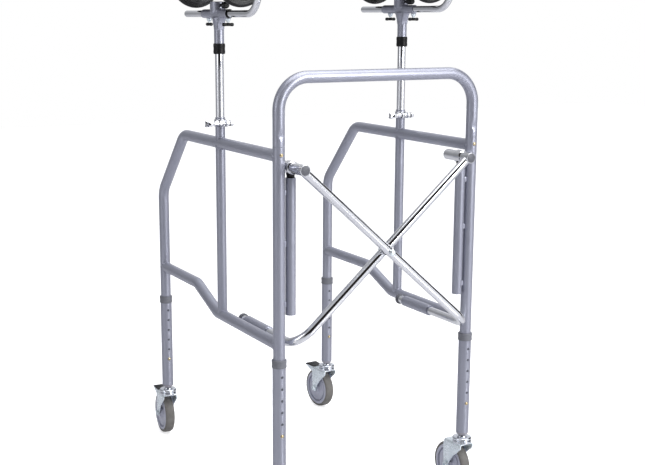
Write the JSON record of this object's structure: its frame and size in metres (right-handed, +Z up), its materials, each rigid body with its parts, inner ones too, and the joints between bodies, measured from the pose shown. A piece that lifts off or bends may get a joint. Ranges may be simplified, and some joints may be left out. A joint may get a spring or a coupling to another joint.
{
  "type": "folding walking frame with forearm supports",
  "caption": "Folding walking frame on swivel casters, with a lift-off front arch, a crossed brace and two height-adjustable padded forearm supports.",
  "frame": {"origin": "on the floor, under the middle of the object's outline", "axes": "+Z up; -Y the way the user walks, towards the arch; +X to the left of a user who stands inside and faces the arch"},
  "size_m": [0.599, 0.8019, 1.2765],
  "materials": {
    "paint": "satin silver-grey metallic paint",
    "chrome": "polished chrome plating",
    "zinc": "bright zinc plating",
    "brass": "plain",
    "rubber": "matte grey tread on a light grey hub",
    "black": "fine matte",
    "pad": "black vinyl over foam",
    "grey_plastic": "matte"
  },
  "bodies": {
    "left_frame": {"left_front_post": "paint", "left_hoop": "paint", "left_mid_post": "paint", "left_lower_rail": "paint", "left_clamp": "chrome"},
    "left_arch_button_body": {"left_arch_button": "brass"},
    "left_slider_body": {"left_slider": "black"},
    "right_frame": {"right_front_post": "paint", "right_hoop": "paint", "right_mid_post": "paint", "right_lower_rail": "paint", "right_clamp": "chrome"},
    "right_arch_button_body": {"right_arch_button": "brass"},
    "right_slider_body": {"right_slider": "black"},
    "arch_body": {"arch": "paint"},
    "brace_a_body": {"brace_a": "chrome"},
    "brace_b_body": {"brace_b": "chrome", "cross_bolt": "zinc"},
    "left_front_leg_body": {"left_front_leg": "paint", "left_front_stem": "grey_plastic"},
    "left_front_button_body": {"left_front_leg_button": "brass"},
    "left_front_fork_body": {"left_front_fork": "zinc"},
    "left_front_wheel_body": {"left_front_wheel": "rubber"},
    "left_rear_leg_body": {"left_rear_leg": "paint", "left_rear_stem": "grey_plastic"},
    "left_rear_button_body": {"left_rear_leg_button": "brass"},
    "left_rear_fork_body": {"left_rear_fork": "zinc"},
    "left_rear_wheel_body": {"left_rear_wheel": "rubber"},
    "left_rear_pedal_body": {"left_rear_pedal": "zinc"},
    "left_support": {"left_support_post": "chrome", "left_head": "paint"},
    "left_handle_body": {"left_handle": "chrome", "left_grip": "black"},
    "left_trough_body": {"left_trough": "pad"},
    "left_clamp_lever_body": {"left_clamp_lever": "chrome"},
    "left_lock_knob_body": {"left_lock_knob": "black"},
    "left_front_knob_body": {"left_front_knob": "black"},
    "left_rear_knob_body": {"left_rear_knob": "black"},
    "right_front_leg_body": {"right_front_leg": "paint", "right_front_stem": "grey_plastic"},
    "right_front_button_body": {"right_front_leg_button": "brass"},
    "right_front_fork_body": {"right_front_fork": "zinc"},
    "right_front_wheel_body": {"right_front_wheel": "rubber"},
    "right_rear_leg_body": {"right_rear_leg": "paint", "right_rear_stem": "grey_plastic"},
    "right_rear_button_body": {"right_rear_leg_button": "brass"},
    "right_rear_fork_body": {"right_rear_fork": "zinc"},
    "right_rear_wheel_body": {"right_rear_wheel": "rubber"},
    "right_rear_pedal_body": {"right_rear_pedal": "zinc"},
    "right_support": {"right_support_post": "chrome", "right_head": "paint"},
    "right_handle_body": {"right_handle": "chrome", "right_grip": "black"},
    "right_trough_body": {"right_trough": "pad"},
    "right_clamp_lever_body": {"right_clamp_lever": "chrome"},
    "right_lock_knob_body": {"right_lock_knob": "black"},
    "right_front_knob_body": {"right_front_knob": "black"},
    "right_rear_knob_body": {"right_rear_knob": "black"}
  },
  "joints": [
    {"name": "fold", "type": "hinge", "parent": "left_frame", "child": "brace_b_body", "pos_m": [-0.2105, -0.3355, 0.409], "axis": [0, -1, 0], "range_deg": [0, 27]},
    {"name": "cross_pivot", "type": "hinge", "parent": "brace_b_body", "child": "brace_a_body", "pos_m": [0, -0.3355, 0.5955], "axis": [0, -1, 0], "range_deg": [-54, 0]},
    {"name": "right_pivot", "type": "hinge", "parent": "brace_a_body", "child": "right_frame", "pos_m": [0.2105, -0.3355, 0.409], "axis": [0, -1, 0], "range_deg": [0, 27]},
    {"name": "left_slider_pivot", "type": "hinge", "parent": "brace_a_body", "child": "left_slider_body", "pos_m": [-0.2105, -0.3355, 0.782], "axis": [0, -1, 0], "range_deg": [0, 27]},
    {"name": "right_slider_pivot", "type": "hinge", "parent": "brace_b_body", "child": "right_slider_body", "pos_m": [0.2105, -0.3355, 0.782], "axis": [0, -1, 0], "range_deg": [-27, 0]},
    {"name": "arch_lift", "type": "slide", "parent": "left_frame", "child": "arch_body", "axis": [0, 0, 1], "range_m": [0, 0.12]},
    {"name": "left_arch_button_press", "type": "slide", "parent": "left_frame", "child": "left_arch_button_body", "axis": [0, 1, 0], "range_m": [0, 0.0025], "stiffness_N_per_m": 800},
    {"name": "left_front_leg_height", "type": "slide", "parent": "left_frame", "child": "left_front_leg_body", "axis": [0, 0, -1], "range_m": [0, 0.13]},
    {"name": "left_front_button_press", "type": "slide", "parent": "left_front_leg_body", "child": "left_front_button_body", "axis": [0, 1, 0], "range_m": [0, 0.0025], "stiffness_N_per_m": 800},
    {"name": "left_front_swivel", "type": "hinge", "parent": "left_front_leg_body", "child": "left_front_fork_body", "pos_m": [-0.2375, -0.3355, 0.1315], "axis": [0, 0, 1], "continuous": true},
    {"name": "left_front_roll", "type": "hinge", "parent": "left_front_fork_body", "child": "left_front_wheel_body", "pos_m": [-0.2375, -0.3025, 0.053], "axis": [1, 0, 0], "continuous": true},
    {"name": "left_rear_leg_height", "type": "slide", "parent": "left_frame", "child": "left_rear_leg_body", "axis": [0, 0, -1], "range_m": [0, 0.13]},
    {"name": "left_rear_button_press", "type": "slide", "parent": "left_rear_leg_body", "child": "left_rear_button_body", "axis": [0, 1, 0], "range_m": [0, 0.0025], "stiffness_N_per_m": 800},
    {"name": "left_rear_swivel", "type": "hinge", "parent": "left_rear_leg_body", "child": "left_rear_fork_body", "pos_m": [-0.2375, 0.3145, 0.1315], "axis": [0, 0, 1], "continuous": true},
    {"name": "left_rear_roll", "type": "hinge", "parent": "left_rear_fork_body", "child": "left_rear_wheel_body", "pos_m": [-0.2352, 0.34742, 0.053], "axis": [0.9976, -0.0698, 0], "continuous": true},
    {"name": "left_rear_brake", "type": "hinge", "parent": "left_rear_fork_body", "child": "left_rear_pedal_body", "pos_m": [-0.23534, 0.34542, 0.113], "axis": [-0.9976, 0.0698, 0], "range_deg": [0, 10]},
    {"name": "left_support_height", "type": "slide", "parent": "left_frame", "child": "left_support", "axis": [0, 0, 1], "range_m": [-0.13, 0.12]},
    {"name": "left_handle_reach", "type": "slide", "parent": "left_support", "child": "left_handle_body", "axis": [0, -1, 0], "range_m": [-0.04, 0.08]},
    {"name": "left_trough_turn", "type": "hinge", "parent": "left_support", "child": "left_trough_body", "pos_m": [-0.2375, -0.0385, 1.1158], "axis": [0, 0, 1], "range_deg": [-30, 30]},
    {"name": "left_clamp_open", "type": "hinge", "parent": "left_frame", "child": "left_clamp_lever_body", "pos_m": [-0.2375, -0.068, 0.851], "axis": [1, 0, 0], "range_deg": [0, 120]},
    {"name": "left_lock_knob_turn", "type": "hinge", "parent": "left_support", "child": "left_lock_knob_body", "pos_m": [-0.2375, -0.0559, 1.1068], "axis": [0, 1, 0], "range_deg": [-180, 180]},
    {"name": "left_front_knob_turn", "type": "hinge", "parent": "left_support", "child": "left_front_knob_body", "pos_m": [-0.2375, -0.0925, 1.0717], "axis": [0, 0, 1], "range_deg": [-180, 180]},
    {"name": "left_rear_knob_turn", "type": "hinge", "parent": "left_support", "child": "left_rear_knob_body", "pos_m": [-0.2375, 0.0085, 1.0717], "axis": [0, 0, 1], "range_deg": [-180, 180]},
    {"name": "right_arch_button_press", "type": "slide", "parent": "right_frame", "child": "right_arch_button_body", "axis": [0, 1, 0], "range_m": [0, 0.0025], "stiffness_N_per_m": 800},
    {"name": "right_front_leg_height", "type": "slide", "parent": "right_frame", "child": "right_front_leg_body", "axis": [0, 0, -1], "range_m": [0, 0.13]},
    {"name": "right_front_button_press", "type": "slide", "parent": "right_front_leg_body", "child": "right_front_button_body", "axis": [0, 1, 0], "range_m": [0, 0.0025], "stiffness_N_per_m": 800},
    {"name": "right_front_swivel", "type": "hinge", "parent": "right_front_leg_body", "child": "right_front_fork_body", "pos_m": [0.2375, -0.3355, 0.1315], "axis": [0, 0, 1], "continuous": true},
    {"name": "right_front_roll", "type": "hinge", "parent": "right_front_fork_body", "child": "right_front_wheel_body", "pos_m": [0.2352, -0.30258, 0.053], "axis": [0.9976, 0.0698, 0], "continuous": true},
    {"name": "right_rear_leg_height", "type": "slide", "parent": "right_frame", "child": "right_rear_leg_body", "axis": [0, 0, -1], "range_m": [0, 0.13]},
    {"name": "right_rear_button_press", "type": "slide", "parent": "right_rear_leg_body", "child": "right_rear_button_body", "axis": [0, 1, 0], "range_m": [0, 0.0025], "stiffness_N_per_m": 800},
    {"name": "right_rear_swivel", "type": "hinge", "parent": "right_rear_leg_body", "child": "right_rear_fork_body", "pos_m": [0.2375, 0.3145, 0.1315], "axis": [0, 0, 1], "continuous": true},
    {"name": "right_rear_roll", "type": "hinge", "parent": "right_rear_fork_body", "child": "right_rear_wheel_body", "pos_m": [0.23405, 0.34732, 0.053], "axis": [0.9945, 0.1045, 0], "continuous": true},
    {"name": "right_rear_brake", "type": "hinge", "parent": "right_rear_fork_body", "child": "right_rear_pedal_body", "pos_m": [0.23426, 0.34533, 0.113], "axis": [-0.9945, -0.1045, 0], "range_deg": [0, 10]},
    {"name": "right_support_height", "type": "slide", "parent": "right_frame", "child": "right_support", "axis": [0, 0, 1], "range_m": [-0.13, 0.12]},
    {"name": "right_handle_reach", "type": "slide", "parent": "right_support", "child": "right_handle_body", "axis": [0, -1, 0], "range_m": [-0.04, 0.08]},
    {"name": "right_trough_turn", "type": "hinge", "parent": "right_support", "child": "right_trough_body", "pos_m": [0.2375, -0.0385, 1.1263], "axis": [0, 0, 1], "range_deg": [-30, 30]},
    {"name": "right_clamp_open", "type": "hinge", "parent": "right_frame", "child": "right_clamp_lever_body", "pos_m": [0.2375, -0.068, 0.851], "axis": [1, 0, 0], "range_deg": [0, 120]},
    {"name": "right_lock_knob_turn", "type": "hinge", "parent": "right_support", "child": "right_lock_knob_body", "pos_m": [0.2375, -0.0559, 1.1173], "axis": [0, 1, 0], "range_deg": [-180, 180]},
    {"name": "right_front_knob_turn", "type": "hinge", "parent": "right_support", "child": "right_front_knob_body", "pos_m": [0.2375, -0.0925, 1.0822], "axis": [0, 0, 1], "range_deg": [-180, 180]},
    {"name": "right_rear_knob_turn", "type": "hinge", "parent": "right_support", "child": "right_rear_knob_body", "pos_m": [0.2375, 0.0085, 1.0822], "axis": [0, 0, 1], "range_deg": [-180, 180]}
  ],
  "couplings": [
    {"joint": "cross_pivot", "follows": "fold", "ratio": -2},
    {"joint": "right_pivot", "follows": "fold", "ratio": 1},
    {"joint": "left_slider_pivot", "follows": "fold", "ratio": 1},
    {"joint": "right_slider_pivot", "follows": "fold", "ratio": -1},
    {"joint": "arch_lift", "follows": "fold", "m_per_rad": 0.25}
  ]
}
